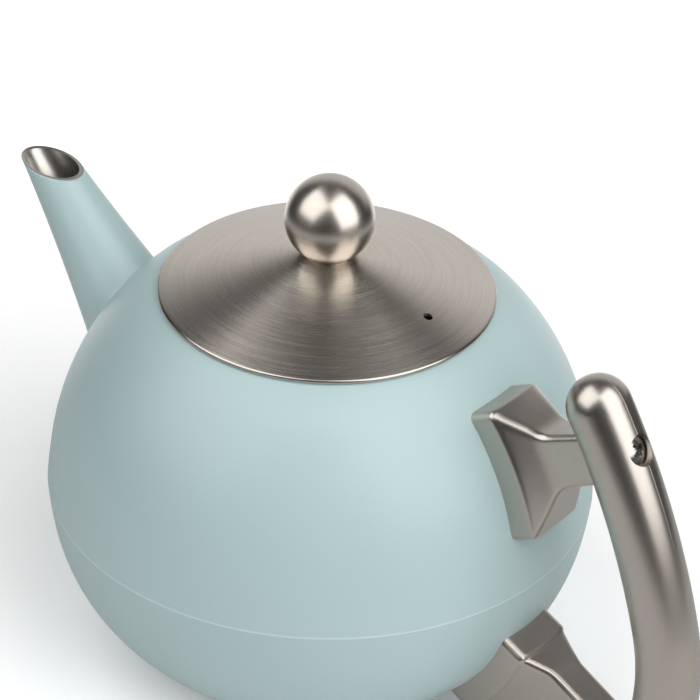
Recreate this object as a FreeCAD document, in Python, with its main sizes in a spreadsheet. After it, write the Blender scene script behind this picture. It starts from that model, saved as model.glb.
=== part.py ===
import FreeCAD, Part
import Sketcher
import math
import os
from FreeCAD import Placement, Rotation, Vector

# Double-walled steel teapot with a lift-out infuser basket, a loose conical lid
# with a ball knob, a straight tapered spout and a bow handle on two brackets.
# Frame: millimetres, +Z up, origin on the vessel axis at the resting face,
# +X towards the handle, -X towards the spout.

doc = FreeCAD.newDocument("teapot")

# ---------------------------------------------------------------- dimensions
sheet = doc.addObject("Spreadsheet::Sheet", "Dims")
DIMENSIONS = [
    # vessel, outer skin
    ("seam_height", 53.5, "height of the equator seam above the resting face"),
    ("body_radius", 72.0, "outer skin radius, upper half is a dome of this radius"),
    ("bead_radius", 72.5, "radius of the raised seam bead"),
    ("bead_height", 0.5, "height of the bead on each half"),
    ("skin_wall", 0.8, "sheet thickness of the outer skin"),
    ("crown_start", 54.0, "radius where the dome passes into the flatter crown"),
    ("crown_radius", 40.0, "section radius of the crown"),
    ("crown_edge", 42.5, "radius of the opening cut in the crown"),
    ("bowl_radius", 55.0, "section radius of the lower half next to the seam"),
    ("bowl_floor_radius", 78.0, "section radius of the lower half next to the base"),
    ("base_thick", 1.2, "thickness of the base disc"),
    # vessel, inner skin
    ("vessel_radius", 66.0, "outside radius of the inner vessel at the seam"),
    ("vessel_wall", 0.7, "sheet thickness of the inner vessel"),
    ("vessel_floor", 6.5, "height of the underside of the inner floor"),
    # mouth ring
    ("ring_bore", 40.0, "bore of the mouth ring"),
    ("ring_wall", 0.8, "wall of the mouth ring"),
    ("ring_top", 110.1, "top of the mouth ring"),
    ("ledge_top", 100.0, "top of the ledge that carries the basket"),
    ("ledge_bore", 38.0, "bore of the ledge"),
    # spout
    ("spout_tilt", 41.16, "lean of the spout axis from vertical, degrees"),
    ("spout_x", -99.6, "reference point on the spout axis, X"),
    ("spout_z", 112.44, "reference point on the spout axis, Z"),
    ("spout_reach", 62.0, "length below the reference point"),
    ("spout_over", 14.0, "length above the reference point, trimmed by the mouth"),
    ("spout_tip_radius", 4.90, "outside radius at the untrimmed tip"),
    ("spout_root_radius", 16.45, "outside radius at the untrimmed root"),
    ("spout_flare", 640.0, "section radius of the flare"),
    ("spout_wall", 0.9, "wall of the spout"),
    ("mouth_x", -97.8, "centre of the spout mouth, X"),
    ("mouth_z", 110.4, "centre of the spout mouth, Z"),
    ("mouth_slope", 4.7, "slope of the mouth cut, degrees"),
    # handle
    ("bar_radius", 8.26, "radius of the handle bar"),
    ("bow_x", -84.4, "centre of the long bow, X"),
    ("bow_z", 2.5, "centre of the long bow, Z"),
    ("bow_radius", 202.5, "radius of the long bow"),
    ("bow_top", 33.0, "angle of the upper end of the bow, degrees"),
    ("bow_join", 15.7, "angle where the long bow meets the short one, degrees"),
    ("turn_radius", 66.34, "radius of the short bow"),
    ("turn_end", 25.5, "angle below level where the short bow ends, degrees"),
    ("tail_length", 0.4, "straight length below the lower screw"),
    ("upper_tilt", 28.0, "elevation of the upper bracket axis, degrees"),
    ("upper_bar", 104.0, "distance from vessel centre to bar centre, upper bracket"),
    ("lower_tilt", 25.5, "depression of the lower bracket axis, degrees"),
    # brackets, measured along and across their own axis
    ("pad_half", 9.7, "half width of the pad"),
    ("pad_up", 16.4, "pad above the axis"),
    ("pad_down", 18.8, "pad below the axis"),
    ("low_pad_up", 8.0, "lower pad above the axis"),
    ("low_pad_down", 22.0, "lower pad below the axis"),
    ("pad_face", 79.4, "radius of the pad's front face"),
    ("hip_root", 76.4, "start of the hip"),
    ("hip_end", 85.6, "end of the hip"),
    ("hip_inset", 0.5, "step of the hip inside the pad edge"),
    ("neck_half", 5.5, "half width of the neck"),
    ("neck_up", 7.4, "neck above the axis"),
    ("neck_down", 7.2, "neck below the axis"),
    # fasteners
    ("screw_radius", 2.0, "radius of the screw shank"),
    ("clear_radius", 2.3, "radius of the clearance holes"),
    ("thread_radius", 2.03, "radius of the tapped holes"),
    ("head_radius", 3.6, "radius of the screw head"),
    ("head_height", 2.4, "height of the screw head"),
    ("sink_radius", 4.12, "radius of the counterbore"),
    ("head_drop", 1.6, "depth of the head below the bar's crest"),
    ("boss_radius", 5.0, "radius of the tapped boss"),
    ("boss_length", 4.2, "length of the tapped boss"),
    # infuser basket
    ("basket_radius", 36.2, "outside radius of the basket"),
    ("basket_wall", 0.6, "wall of the basket"),
    ("basket_floor", 36.0, "height of the basket's underside"),
    ("basket_rim", 39.6, "radius of the basket's rim"),
    ("seat_gap", 0.3, "rest gap between loose parts"),
    ("rim_thick", 0.8, "thickness of the basket's rim"),
    # lid
    ("lid_radius", 43.7, "radius of the lid"),
    ("lid_low", 109.85, "height of the lid's lower edge"),
    ("lid_lip", 110.65, "height of the top of the lid's outer lip"),
    ("lid_shoulder", 111.05, "height of the lid's shoulder"),
    ("shoulder_radius", 43.2, "radius of the lid's shoulder"),
    ("lid_flat_radius", 6.5, "radius of the flat under the knob"),
    ("lid_flat", 122.13, "height of the flat under the knob"),
    ("lid_wall", 0.8, "sheet thickness of the lid"),
    ("skirt_radius", 39.2, "outside radius of the lid's skirt"),
    ("skirt_wall", 0.8, "wall of the lid's skirt"),
    ("skirt_low", 102.5, "lower edge of the lid's skirt"),
    ("skirt_bead", 39.5, "radius of the bead that keeps the seal on"),
    ("seal_bore", 39.25, "bore of the seal"),
    ("seal_radius", 39.7, "outside radius of the seal"),
    ("seal_low", 104.0, "lower face of the seal"),
    ("seal_height", 3.0, "height of the seal"),
    ("vent_radius", 1.2, "radius of the steam vent"),
    ("vent_pitch", 31.4, "distance of the vent from the lid's axis"),
    ("vent_angle", 2.8, "direction of the vent from +X, degrees"),
    ("knob_radius", 11.57, "radius of the ball knob"),
    ("knob_height", 131.6, "height of the ball's centre"),
    ("washer_radius", 5.0, "radius of the washer under the lid"),
    ("washer_thick", 0.8, "thickness of the washer"),
    ("knob_bite", 8.0, "length of the screw inside the knob"),
]
for row, (alias, number, note) in enumerate(DIMENSIONS, start=1):
    sheet.set("A%d" % row, alias)
    sheet.set("B%d" % row, str(number))
    sheet.setAlias("B%d" % row, alias)
    sheet.set("C%d" % row, note)
doc.recompute()


class Q:
    """A quantity kept as its sheet formula together with its present value."""

    def __init__(self, text, value):
        self.text = text
        self.value = float(value)

    @staticmethod
    def of(other):
        return other if isinstance(other, Q) else Q(repr(float(other)), other)

    def __add__(self, other):
        other = Q.of(other)
        return Q("(%s + %s)" % (self.text, other.text), self.value + other.value)

    def __radd__(self, other):
        return Q.of(other) + self

    def __sub__(self, other):
        other = Q.of(other)
        return Q("(%s - %s)" % (self.text, other.text), self.value - other.value)

    def __rsub__(self, other):
        return Q.of(other) - self

    def __mul__(self, other):
        other = Q.of(other)
        return Q("(%s * %s)" % (self.text, other.text), self.value * other.value)

    def __rmul__(self, other):
        return Q.of(other) * self

    def __truediv__(self, other):
        other = Q.of(other)
        return Q("(%s / %s)" % (self.text, other.text), self.value / other.value)


def root(q):
    return Q("sqrt(%s)" % q.text, math.sqrt(q.value))


def cosine(q):
    return Q("cos(%s * 1 deg)" % q.text, math.cos(math.radians(q.value)))


def sine(q):
    return Q("sin(%s * 1 deg)" % q.text, math.sin(math.radians(q.value)))


class Sheet:
    """Reads a cell by its alias, as a formula with its value."""

    def __getattr__(self, alias):
        return Q("Dims.%s" % alias, sheet.get(alias))


D = Sheet()
ZERO = Q("0", 0.0)


def bind(obj, prop, q):
    obj.setExpression(prop, q.text)


# ------------------------------------------------------------------- helpers
def origin_feature(body, role):
    for feature in body.Origin.OriginFeatures:
        if feature.Role == role:
            return feature
    raise RuntimeError("no %s in %s" % (role, body.Name))


def section_sketch(body, name, points, arcs):
    """A closed, fully dimensioned section on the body's XZ plane.

    points  (radius, height) pairs of quantities, in order round the section
    arcs    edge number -> (radius, +1 or -1); +1 has the centre on the left
            of the direction of travel
    """
    sketch = body.newObject("Sketcher::SketchObject", name)
    sketch.AttachmentSupport = [(origin_feature(body, "XZ_Plane"), "")]
    sketch.MapMode = "FlatFace"
    count = len(points)
    ends = []
    for i in range(count):
        a = Vector(points[i][0].value, points[i][1].value, 0)
        b = Vector(points[(i + 1) % count][0].value, points[(i + 1) % count][1].value, 0)
        if i in arcs:
            radius, side = arcs[i][0].value, arcs[i][1]
            chord = b - a
            left = Vector(-chord.y, chord.x, 0).normalize()
            rise = math.sqrt(max(radius * radius - (chord.Length / 2) ** 2, 0.0))
            centre = (a + b) * 0.5 + left * (rise * side)
            start = math.atan2(a.y - centre.y, a.x - centre.x)
            stop = math.atan2(b.y - centre.y, b.x - centre.x)
            circle = Part.Circle(centre, Vector(0, 0, 1), radius)
            if side > 0:
                if stop < start:
                    stop += 2 * math.pi
                geo = sketch.addGeometry(Part.ArcOfCircle(circle, start, stop), False)
                ends.append((geo, 1, 2))
            else:
                if start < stop:
                    start += 2 * math.pi
                geo = sketch.addGeometry(Part.ArcOfCircle(circle, stop, start), False)
                ends.append((geo, 2, 1))
        else:
            geo = sketch.addGeometry(Part.LineSegment(a, b), False)
            ends.append((geo, 1, 2))
    formulas = []
    for i in range(count):
        geo, _, last = ends[i]
        following, first, _ = ends[(i + 1) % count]
        sketch.addConstraint(Sketcher.Constraint("Coincident", geo, last, following, first))
    for i in range(count):
        geo, first, _ = ends[i]
        radius, height = points[i]
        if radius is ZERO:
            sketch.addConstraint(Sketcher.Constraint("PointOnObject", geo, first, -2))
        else:
            k = sketch.addConstraint(
                Sketcher.Constraint("DistanceX", -1, 1, geo, first, radius.value))
            formulas.append((k, radius))
        if height is ZERO:
            sketch.addConstraint(Sketcher.Constraint("PointOnObject", geo, first, -1))
        else:
            k = sketch.addConstraint(
                Sketcher.Constraint("DistanceY", -1, 1, geo, first, height.value))
            formulas.append((k, height))
        if i in arcs:
            k = sketch.addConstraint(Sketcher.Constraint("Radius", geo, arcs[i][0].value))
            formulas.append((k, arcs[i][0]))
    for k, q in formulas:
        sketch.setExpression("Constraints[%d]" % k, q.text)
    return sketch


def turned(name, points, arcs=None):
    """A body turned about its Z axis from a dimensioned section."""
    body = doc.addObject("PartDesign::Body", name)
    sketch = section_sketch(body, name + "_section", points, arcs or {})
    turn = body.newObject("PartDesign::Revolution", name + "_turn")
    turn.Profile = sketch
    turn.ReferenceAxis = (sketch, ["V_Axis"])
    turn.Angle = 360.0
    body.Tip = turn
    return body


def cylinder(name, radius, height, placement):
    obj = doc.addObject("Part::Cylinder", name)
    bind(obj, "Radius", radius)
    bind(obj, "Height", height)
    obj.Placement = placement
    return obj


def ball(name, radius, placement):
    obj = doc.addObject("Part::Sphere", name)
    bind(obj, "Radius", radius)
    obj.Placement = placement
    return obj


def cut(name, base, tool):
    obj = doc.addObject("Part::Cut", name)
    obj.Base = base
    obj.Tool = tool
    return obj


def common(name, one, other):
    obj = doc.addObject("Part::MultiCommon", name)
    obj.Shapes = [one, other]
    return obj


def fuse(name, *shapes):
    obj = doc.addObject("Part::MultiFuse", name)
    obj.Shapes = list(shapes)
    return obj


def lean(degrees, base):
    """Placement whose local Z leans by degrees from +Z towards +X."""
    return Placement(base, Rotation(Vector(0, 1, 0), degrees))


parts = {}

# ------------------------------------------------------------ outer skin
seam = D.seam_height
dome = D.body_radius
crown = D.crown_radius
# centre of the crown arc, on the dome's normal at crown_start
crown_z = root(dome * dome - D.crown_start * D.crown_start)
crown_cx = D.crown_start * (1.0 - crown / dome)
crown_cz = seam + crown_z * (1.0 - crown / dome)
inner_dome = dome - D.skin_wall
inner_crown = crown - D.skin_wall


def crown_height(radius, section):
    return crown_cz + root(section * section - (radius - crown_cx) * (radius - crown_cx))


bead_top = seam + D.bead_height
upper = turned("upper_skin_turned", [
    (inner_dome, seam),
    (D.bead_radius, seam),
    (D.bead_radius, bead_top),
    (root(dome * dome - (D.bead_height + 0.25) * (D.bead_height + 0.25)), bead_top + 0.25),
    (D.crown_start, seam + crown_z),
    (D.crown_edge, crown_height(D.crown_edge, crown)),
    (D.crown_edge, crown_height(D.crown_edge, inner_crown)),
    (D.crown_start * (inner_dome / dome), seam + crown_z * (inner_dome / dome)),
], {3: (dome, 1), 4: (crown, 1), 6: (inner_crown, -1), 7: (inner_dome, -1)})

# lower half: two tangent arcs, the first centred on the seam plane
bowl = D.bowl_radius
floor_arc = D.bowl_floor_radius
bowl_cx = dome - bowl
half = Q("45", 45.0)
turn_x = bowl_cx + bowl * cosine(half)
turn_z = seam - bowl * sine(half)
floor_cx = turn_x - floor_arc * cosine(half)
floor_cz = turn_z + floor_arc * sine(half)


def floor_x(height, section):
    return floor_cx + root(section * section - (floor_cz - height) * (floor_cz - height))


def on_turn(offset):
    return (turn_x - offset * cosine(half), turn_z + offset * sine(half))


wall = D.skin_wall
parts["outer_shell_lower"] = turned("outer_shell_lower", [
    (floor_x(D.base_thick, floor_arc - wall), D.base_thick),
    (floor_x(D.base_thick, floor_arc), D.base_thick),
    on_turn(ZERO),
    (bowl_cx + root(bowl * bowl - (D.bead_height + 0.25) * (D.bead_height + 0.25)),
     seam - D.bead_height - 0.25),
    (D.bead_radius, seam - D.bead_height),
    (D.bead_radius, seam),
    (dome - wall, seam),
    on_turn(wall),
], {1: (floor_arc, 1), 2: (bowl, 1), 6: (bowl - wall, -1), 7: (floor_arc - wall, -1)})

parts["base_plate"] = turned("base_plate", [
    (ZERO, ZERO),
    (floor_x(ZERO, floor_arc), ZERO),
    (floor_x(D.base_thick, floor_arc), D.base_thick),
    (ZERO, D.base_thick),
], {1: (floor_arc, 1)})

# ------------------------------------------------------------ inner vessel
vessel = D.vessel_radius
vwall = D.vessel_wall
ring_out = D.ring_bore + D.ring_wall
vessel_turned = turned("vessel_upper_turned", [
    (vessel - vwall, seam),
    (vessel, seam),
    (ring_out, seam + root(vessel * vessel - ring_out * ring_out)),
    (ring_out, seam + root((vessel - vwall) * (vessel - vwall) - ring_out * ring_out)),
], {1: (vessel, 1), 3: (vessel - vwall, -1)})

gap = dome - vessel
inset = gap
parts["inner_shell_lower"] = turned("inner_shell_lower", [
    (ZERO, D.vessel_floor),
    (floor_x(D.vessel_floor, floor_arc - inset), D.vessel_floor),
    on_turn(inset),
    (vessel, seam),
    (vessel - vwall, seam),
    on_turn(inset + vwall),
    (floor_x(D.vessel_floor + vwall, floor_arc - inset - vwall), D.vessel_floor + vwall),
    (ZERO, D.vessel_floor + vwall),
], {1: (floor_arc - inset, 1), 2: (bowl - inset, 1),
    4: (bowl - inset - vwall, -1), 5: (floor_arc - inset - vwall, -1)})

# ------------------------------------------------------------ mouth ring
flange_low = D.ring_top - 0.8
parts["mouth_ring"] = turned("mouth_ring", [
    (D.ring_bore, D.ring_top),
    (D.ring_bore, D.ledge_top),
    (D.ledge_bore, D.ledge_top),
    (D.ledge_bore, D.ledge_top - D.ring_wall),
    (ring_out, D.ledge_top - D.ring_wall),
    (ring_out, flange_low),
    (D.crown_edge, flange_low),
    (D.crown_edge, D.ring_top),
])

# ------------------------------------------------------------ spout
reach = D.spout_reach
over = D.spout_over
spout_place = Placement(
    Vector(sheet.get("spout_x"), 0, sheet.get("spout_z")),
    Rotation(Vector(0, 1, 0), -sheet.get("spout_tilt")))


def spout_blank(name, inset_q):
    # local Z runs out along the spout, from 0 at the root to reach + over
    body = turned(name, [
        (ZERO, ZERO),
        (D.spout_root_radius - inset_q, ZERO),
        (D.spout_tip_radius - inset_q, reach + over),
        (ZERO, reach + over),
    ], {1: (D.spout_flare, -1)})
    local = Placement(Vector(0, 0, -sheet.get("spout_reach")), Rotation())
    body.Placement = spout_place.multiply(local)
    return body


spout_core = spout_blank("spout_core", ZERO)
spout_core_b = spout_blank("spout_core_b", ZERO)
spout_bore = spout_blank("spout_bore", D.spout_wall)
spout_bore_b = spout_blank("spout_bore_b", D.spout_wall)

centre = Vector(0, 0, sheet.get("seam_height"))
vessel_ball = ball("vessel_ball", vessel, Placement(centre, Rotation()))
mouth_block = doc.addObject("Part::Box", "mouth_block")
for prop, size in (("Length", 60), ("Width", 60), ("Height", 30)):
    setattr(mouth_block, prop, size)
mouth_turn = Rotation(Vector(0, 1, 0), sheet.get("mouth_slope"))
mouth_block.Placement = Placement(
    Vector(sheet.get("mouth_x"), 0, sheet.get("mouth_z")) + mouth_turn.multVec(Vector(-30, -30, 0)),
    mouth_turn)
spout_tube = cut("spout_tube", spout_core, spout_bore)
spout_cut = cut("spout_cut", spout_tube, mouth_block)
parts["spout"] = cut("spout", spout_cut, vessel_ball)
parts["inner_shell_upper"] = cut("inner_shell_upper", vessel_turned, spout_bore_b)

# ------------------------------------------------------------ handle bar
bar = D.bar_radius
bow_centre = Vector(sheet.get("bow_x"), 0, sheet.get("bow_z"))
stand = Rotation(Vector(1, 0, 0), 90)


def torus(name, radius, sweep, base, start):
    obj = doc.addObject("Part::Torus", name)
    bind(obj, "Radius1", radius)
    bind(obj, "Radius2", bar)
    bind(obj, "Angle3", sweep)
    obj.Placement = Placement(base, Rotation(Vector(0, 1, 0), -start).multiply(stand))
    return obj


def ray_point(base, radius, degrees):
    a = math.radians(degrees)
    return base + Vector(radius * math.cos(a), 0, radius * math.sin(a))


bow_top = sheet.get("bow_top")
bow_join = sheet.get("bow_join")
turn_end = -sheet.get("turn_end")
turn_centre = ray_point(bow_centre, sheet.get("bow_radius") - sheet.get("turn_radius"), bow_join)
long_bow = torus("long_bow", D.bow_radius, D.bow_top - D.bow_join, bow_centre, bow_join)
short_bow = torus("short_bow", D.turn_radius, D.bow_join + D.turn_end, turn_centre, turn_end)
top_point = ray_point(bow_centre, sheet.get("bow_radius"), bow_top)
low_point = ray_point(turn_centre, sheet.get("turn_radius"), turn_end)
tail_dir = Vector(math.sin(math.radians(turn_end)), 0, -math.cos(math.radians(turn_end)))
tail = cylinder("tail", bar, D.tail_length,
                Placement(low_point, Rotation(Vector(0, 0, 1), tail_dir)))
top_ball = ball("top_ball", bar, Placement(top_point, Rotation(Vector(0, 1, 0), 90 - bow_top)))
tail_ball = ball("tail_ball", bar, Placement(low_point + tail_dir * sheet.get("tail_length"),
                                             Rotation(Vector(0, 0, 1), tail_dir)))
handle_bar = fuse("handle_bar", long_bow, short_bow, tail, top_ball, tail_ball)

# ------------------------------------------------------------ screw axes
# upper: a radius of the vessel; lower: square to the bar at its screw
upper_axis = Vector(math.cos(math.radians(sheet.get("upper_tilt"))), 0,
                    math.sin(math.radians(sheet.get("upper_tilt"))))
lower_axis = Vector(math.cos(math.radians(sheet.get("lower_tilt"))), 0,
                    -math.sin(math.radians(sheet.get("lower_tilt"))))
upper_bar = centre + upper_axis * sheet.get("upper_bar")
lower_bar = low_point


def along(axis, point):
    return Placement(point, Rotation(Vector(0, 0, 1), axis))


seat_depth = D.head_drop + D.head_height
sink = seat_depth + 6.0
head_seat = bar - seat_depth            # measured out from the bar's centre


def sink_tool(name, point, axis):
    wide = cylinder(name + "_wide", D.sink_radius, sink,
                    along(axis, point + axis * head_seat.value))
    narrow = cylinder(name + "_narrow", D.clear_radius, bar * 2.0 + 4.0,
                      along(axis, point - axis * (sheet.get("bar_radius") + 2.0)))
    return fuse(name, wide, narrow)


handle_once = cut("handle_once", handle_bar, sink_tool("upper_sink", upper_bar, upper_axis))
parts["handle"] = cut("handle", handle_once, sink_tool("lower_sink", lower_bar, lower_axis))

# ------------------------------------------------------------ brackets


def wedge(name, placement, near, far, start, stop):
    """A tapered block along the bracket axis.

    near, far    (half width, up, down) at each end
    The block's own Y runs along the axis, X across, Z up the bracket.
    """
    obj = doc.addObject("Part::Wedge", name)
    bind(obj, "Ymin", start)
    bind(obj, "Ymax", stop)
    bind(obj, "Xmin", ZERO - near[0])
    bind(obj, "Xmax", near[0])
    bind(obj, "Zmin", ZERO - near[2])
    bind(obj, "Zmax", near[1])
    bind(obj, "X2min", ZERO - far[0])
    bind(obj, "X2max", far[0])
    bind(obj, "Z2min", ZERO - far[2])
    bind(obj, "Z2max", far[1])
    obj.Placement = placement
    return obj


def bracket(name, base, tilt, stretch, body_tool, bar_tool, bore_point, axis, up, down):
    """Pad, hip and neck on one axis through base, raised by tilt degrees."""
    # block frame: Y along the axis, Z square to it in the XZ plane, X across
    frame = Placement(base, Rotation(Vector(0, 1, 0), -tilt).multiply(
        Rotation(Vector(0, 0, 1), -90)))
    pad = wedge(name + "_pad", frame,
                (D.pad_half, up, down), (D.pad_half, up, down),
                D.pad_face - 25.0, D.pad_face + 5.0)
    face = ball(name + "_face", D.pad_face, Placement(base, Rotation()))
    slab = common(name + "_slab", pad, face)
    hip_near = (D.pad_half - D.hip_inset, up - D.hip_inset, down - D.hip_inset)
    hip_far = (D.neck_half + 0.4, D.neck_up + 0.6, D.neck_down + 0.6)
    hip = wedge(name + "_hip", frame, hip_near, hip_far, D.hip_root, D.hip_end)
    neck = wedge(name + "_neck", frame, (D.neck_half, D.neck_up, D.neck_down),
                 (D.neck_half - 0.3, D.neck_up - 0.7, D.neck_down - 0.5),
                 D.hip_root, D.upper_bar + stretch)
    solid = fuse(name + "_solid", slab, hip, neck)
    hollow = cut(name + "_seated", solid, body_tool)
    seat = cut(name + "_saddle", hollow, bar_tool)
    bore = cylinder(name + "_bore", D.clear_radius, Q("60", 60.0), along(axis, bore_point))
    return cut(name, seat, bore)


def body_solid(name):
    """The outer skin's full outline, used to shape the bracket pads."""
    return turned(name, [
        (ZERO, D.base_thick),
        (floor_x(D.base_thick, floor_arc), D.base_thick),
        on_turn(ZERO),
        (dome, seam),
        (D.crown_start, seam + crown_z),
        (ZERO, seam + crown_z),
    ], {1: (floor_arc, 1), 2: (bowl, 1), 3: (dome, 1)})


outline_a = body_solid("outline_a")
outline_b = body_solid("outline_b")
bar_a = cylinder("saddle_a", bar, Q("40", 40.0), Placement())
bar_a.Placement = Placement(upper_bar, Rotation(Vector(0, 1, 0), -sheet.get("upper_tilt")))
bar_a.Placement = bar_a.Placement.multiply(Placement(Vector(0, 0, -20), Rotation()))
bar_b = cylinder("saddle_b", bar, Q("40", 40.0), Placement())
bar_b.Placement = Placement(lower_bar, Rotation(Vector(0, 1, 0), sheet.get("lower_tilt")))
bar_b.Placement = bar_b.Placement.multiply(Placement(Vector(0, 0, -20), Rotation()))

parts["upper_bracket"] = bracket(
    "upper_bracket", centre, sheet.get("upper_tilt"), ZERO, outline_a, handle_bar,
    upper_bar - upper_axis * 50.0, upper_axis, D.pad_up, D.pad_down)

# the lower bracket's base point is the centre of the bowl arc moved so that
# its pad meets the skin at the same depth as the upper one
bowl_centre = Vector(bowl_cx.value, 0, sheet.get("seam_height"))
aside = (lower_bar - bowl_centre) - lower_axis * (lower_bar - bowl_centre).dot(lower_axis)
skin_point = bowl_centre + aside + \
    lower_axis * math.sqrt(sheet.get("bowl_radius") ** 2 - aside.Length ** 2)
lower_base = skin_point - lower_axis * sheet.get("body_radius")
# where the lower screw's own line meets the skin
lower_entry = lower_bar - lower_axis * (lower_bar - skin_point).dot(lower_axis)
lower_stretch = Q("%.6f" % ((lower_bar - lower_base).dot(lower_axis) - sheet.get("upper_bar")),
                  (lower_bar - lower_base).dot(lower_axis) - sheet.get("upper_bar"))
offset = (lower_bar - lower_base).cross(lower_axis).Length
print("lower bracket: stretch %.2f, axis offset %.2f" % (lower_stretch.value, offset))
parts["lower_bracket"] = bracket(
    "lower_bracket", lower_base, -sheet.get("lower_tilt"), lower_stretch, outline_b, handle_bar,
    lower_bar - lower_axis * 55.0, lower_axis, D.low_pad_up, D.low_pad_down)

# ------------------------------------------------------------ outer skin, holes
upper_hole = cylinder("upper_hole", D.clear_radius, Q("12", 12.0),
                      along(upper_axis, centre + upper_axis * 66.2))
spout_and_hole = fuse("spout_and_hole", spout_core_b, upper_hole)
parts["outer_shell_upper"] = cut("outer_shell_upper", upper, spout_and_hole)
lower_turned = parts.pop("outer_shell_lower")
lower_turned.Label = "lower_skin_turned"
lower_hole = cylinder("lower_hole", D.clear_radius, Q("12", 12.0),
                      along(lower_axis, lower_entry - lower_axis * 5.8))
parts["outer_shell_lower"] = cut("outer_skin_lower", lower_turned, lower_hole)

# ------------------------------------------------------------ bosses and screws


def boss(name, skin, axis, trim):
    start = sheet.get("skin_wall") + sheet.get("boss_length")
    outer = cylinder(name + "_outer", D.boss_radius, D.boss_length + D.skin_wall,
                     along(axis, skin - axis * start))
    bored = cut(name + "_bored", outer,
                cylinder(name + "_thread", D.thread_radius, Q("30", 30.0),
                         along(axis, skin - axis * 20.0)))
    return common(name, bored, trim)


# the bosses end on the inside of the skin
dome_trim = ball("dome_trim", dome - wall, Placement(centre, Rotation()))
bowl_trim = turned("bowl_trim", [
    (ZERO, D.base_thick),
    (floor_x(D.base_thick, floor_arc - wall), D.base_thick),
    on_turn(wall),
    (dome - wall, seam),
    (ZERO, seam),
], {1: (floor_arc - wall, 1), 2: (bowl - wall, 1)})
upper_skin_point = centre + upper_axis * sheet.get("body_radius")
upper_boss = boss("upper_boss", upper_skin_point, upper_axis, dome_trim)
lower_boss = boss("lower_boss", lower_entry, lower_axis, bowl_trim)
parts["handle_bosses"] = doc.addObject("Part::Compound", "handle_bosses")
parts["handle_bosses"].Links = [upper_boss, lower_boss]


def pan_screw(name, shank_length, placement):
    """Pan head on the local plane z = 0, head up, shank down."""
    head = doc.addObject("Part::Cylinder", name + "_head")
    bind(head, "Radius", D.head_radius)
    bind(head, "Height", D.head_height)
    shank = doc.addObject("Part::Cylinder", name + "_shank")
    bind(shank, "Radius", D.screw_radius)
    bind(shank, "Height", Q.of(shank_length))
    shank.Placement = Placement(Vector(0, 0, -shank_length), Rotation())
    crown_ball = doc.addObject("Part::Sphere", name + "_crown")
    bind(crown_ball, "Radius", D.head_radius * 1.9)
    crown_ball.Placement = Placement(
        Vector(0, 0, sheet.get("head_height") - sheet.get("head_radius") * 1.9), Rotation())
    domed = common(name + "_domed", head, crown_ball)
    slots = []
    for k in (0, 1):
        slot = doc.addObject("Part::Box", "%s_slot_%d" % (name, k))
        slot.Length = 3.9
        slot.Width = 0.85
        slot.Height = 3.0
        slot.Placement = Placement(
            Rotation(Vector(0, 0, 1), 90.0 * k).multVec(Vector(-1.95, -0.425, 0)) +
            Vector(0, 0, sheet.get("head_height") - 1.4),
            Rotation(Vector(0, 0, 1), 90.0 * k))
        slots.append(slot)
    cross = fuse(name + "_cross", *slots)
    slotted = cut(name + "_slotted", domed, cross)
    screw = fuse(name, slotted, shank)
    screw.Placement = placement
    return screw


upper_seat = upper_bar + upper_axis * head_seat.value
lower_seat = lower_bar + lower_axis * head_seat.value
upper_length = (upper_seat - upper_skin_point).Length + sheet.get("skin_wall") + \
    sheet.get("boss_length") - 0.4
lower_length = (lower_seat - lower_entry).Length + sheet.get("skin_wall") + \
    sheet.get("boss_length") - 0.4
print("screw lengths %.2f %.2f" % (upper_length, lower_length))
spin = Placement(Vector(), Rotation(Vector(0, 0, 1), 28))
parts["handle_screws"] = doc.addObject("Part::Compound", "handle_screws")
parts["handle_screws"].Links = [
    pan_screw("upper_screw", upper_length, along(upper_axis, upper_seat).multiply(spin)),
    pan_screw("lower_screw", lower_length, along(lower_axis, lower_seat).multiply(spin)),
]

# ------------------------------------------------------------ infuser basket
rim_low = D.ledge_top + D.seat_gap
basket = D.basket_radius
parts["infuser_rim"] = turned("infuser_rim", [
    (basket - D.basket_wall, rim_low),
    (D.basket_rim, rim_low),
    (D.basket_rim, rim_low + D.rim_thick),
    (basket - D.basket_wall, rim_low + D.rim_thick),
])
parts["infuser_wall"] = turned("infuser_wall", [
    (basket - D.basket_wall, D.basket_floor + 0.8),
    (basket, D.basket_floor + 0.8),
    (basket, rim_low),
    (basket - D.basket_wall, rim_low),
])
parts["infuser_bottom"] = turned("infuser_bottom", [
    (ZERO, D.basket_floor),
    (basket, D.basket_floor),
    (basket, D.basket_floor + 0.8),
    (ZERO, D.basket_floor + 0.8),
])

# ------------------------------------------------------------ lid
fall = (D.lid_flat - D.lid_shoulder) / (D.shoulder_radius - D.lid_flat_radius)
lid_wall = D.lid_wall


def cone_under(radius):
    return D.lid_shoulder + fall * (D.shoulder_radius - radius) - lid_wall * 1.05


flat_under = D.lid_flat - lid_wall
knee = D.lid_flat_radius - 0.3
lid_turned = turned("lid_turned", [
    (D.lid_radius, D.lid_low),
    (D.lid_radius, D.lid_lip),
    (D.shoulder_radius, D.lid_shoulder),
    (D.lid_flat_radius, D.lid_flat),
    (D.clear_radius, D.lid_flat),
    (D.clear_radius, flat_under),
    (knee, flat_under),
    (D.lid_radius - 1.1, cone_under(D.lid_radius - 1.1)),
    (D.lid_radius - 0.5, D.lid_low + 0.3),
])
vent_dir = math.radians(sheet.get("vent_angle"))
vent = cylinder("vent", D.vent_radius, Q("12", 12.0), Placement(
    Vector(sheet.get("vent_pitch") * math.cos(vent_dir),
           sheet.get("vent_pitch") * math.sin(vent_dir), 108.0), Rotation()))
parts["lid_cover"] = cut("lid_cover", lid_turned, vent)

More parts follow.
